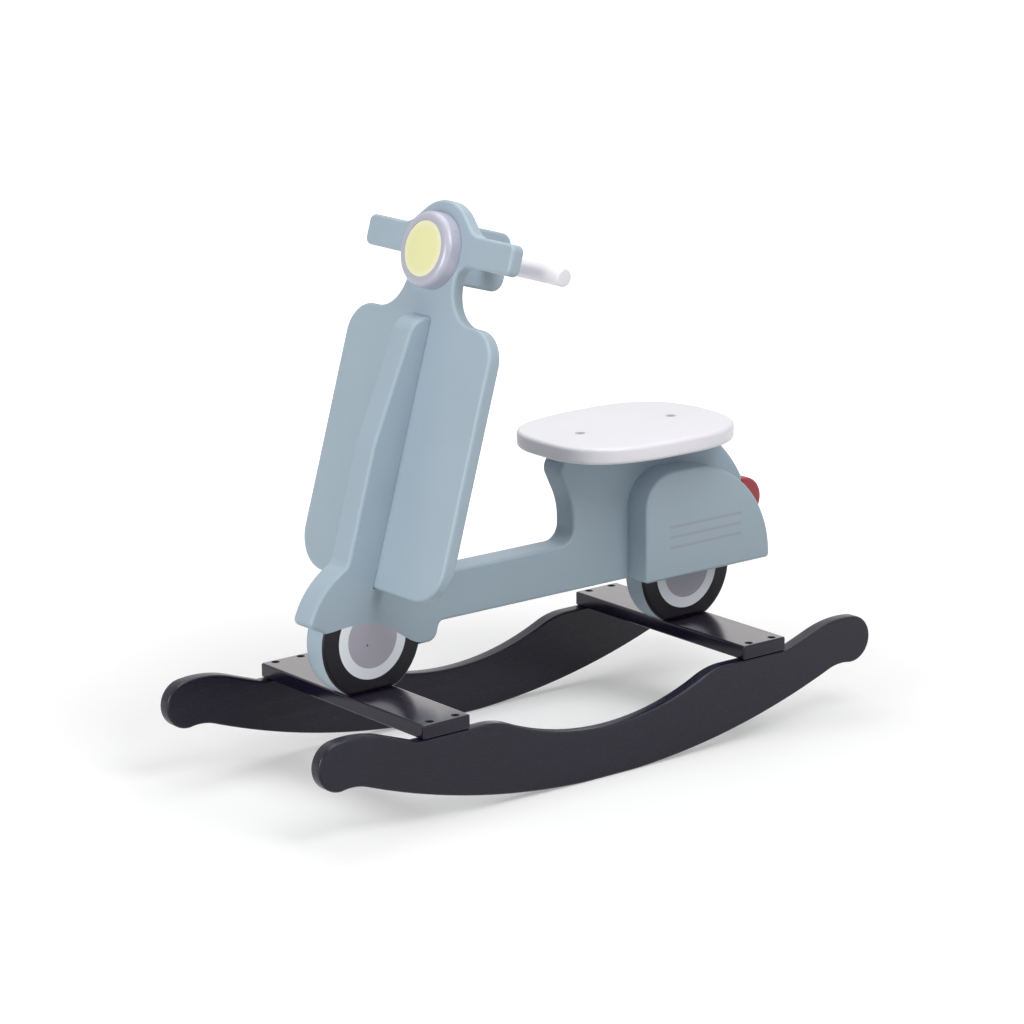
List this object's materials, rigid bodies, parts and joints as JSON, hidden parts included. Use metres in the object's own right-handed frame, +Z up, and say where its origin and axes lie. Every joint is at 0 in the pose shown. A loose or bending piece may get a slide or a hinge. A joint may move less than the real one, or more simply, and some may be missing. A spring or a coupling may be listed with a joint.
{
  "type": "rocking scooter",
  "caption": "Wooden ride-on rocking scooter: an upright centre board with leg shield, round handle, seat, cowls and lamp discs, screwed to cross boards on curved runners.",
  "frame": {"origin": "on the floor, in the middle of the two runners' length and of the width between them", "axes": "+X forwards, from the seat towards the leg shield; +Y to the rider's left; +Z up"},
  "size_m": [0.864, 0.33, 0.6987],
  "materials": {
    "blue_paint": "satin blue-grey paint on board",
    "black_paint": "satin near-black paint on board",
    "white_paint": "satin white paint on wood",
    "silver_paint": "satin silver-grey paint on wood",
    "yellow_paint": "satin pale yellow paint on wood",
    "red_paint": "satin dark red paint on wood",
    "zinc_steel": "zinc plated",
    "beech": "bare, sanded"
  },
  "bodies": {
    "root": {"block_screw_lower": "zinc_steel", "block_screw_upper": "zinc_steel", "centre_board": "blue_paint", "cowl_dowel_front": "beech", "cowl_dowel_rear": "beech", "cowl_left": "blue_paint", "cowl_right": "blue_paint", "cross_board_front": "black_paint", "cross_board_rear": "black_paint", "handle_block": "blue_paint", "handle_rod": "white_paint", "headlight_body": "silver_paint", "headlight_lens": "yellow_paint", "headlight_screw": "zinc_steel", "keel_screw_lower": "zinc_steel", "keel_screw_middle": "zinc_steel", "keel_screw_upper": "zinc_steel", "leg_shield": "blue_paint", "runner_left": "black_paint", "runner_right": "black_paint", "runner_screw_front_left_ahead": "zinc_steel", "runner_screw_front_left_behind": "zinc_steel", "runner_screw_front_right_ahead": "zinc_steel", "runner_screw_front_right_behind": "zinc_steel", "runner_screw_rear_left_ahead": "zinc_steel", "runner_screw_rear_left_behind": "zinc_steel", "runner_screw_rear_right_ahead": "zinc_steel", "runner_screw_rear_right_behind": "zinc_steel", "seat_board": "white_paint", "seat_screw_front": "zinc_steel", "seat_screw_rear": "zinc_steel", "tail_light": "red_paint", "tail_light_dowel": "beech", "wheel_screw_front_ahead": "zinc_steel", "wheel_screw_front_behind": "zinc_steel", "wheel_screw_rear_ahead": "zinc_steel", "wheel_screw_rear_behind": "zinc_steel"}
  },
  "joints": []
}
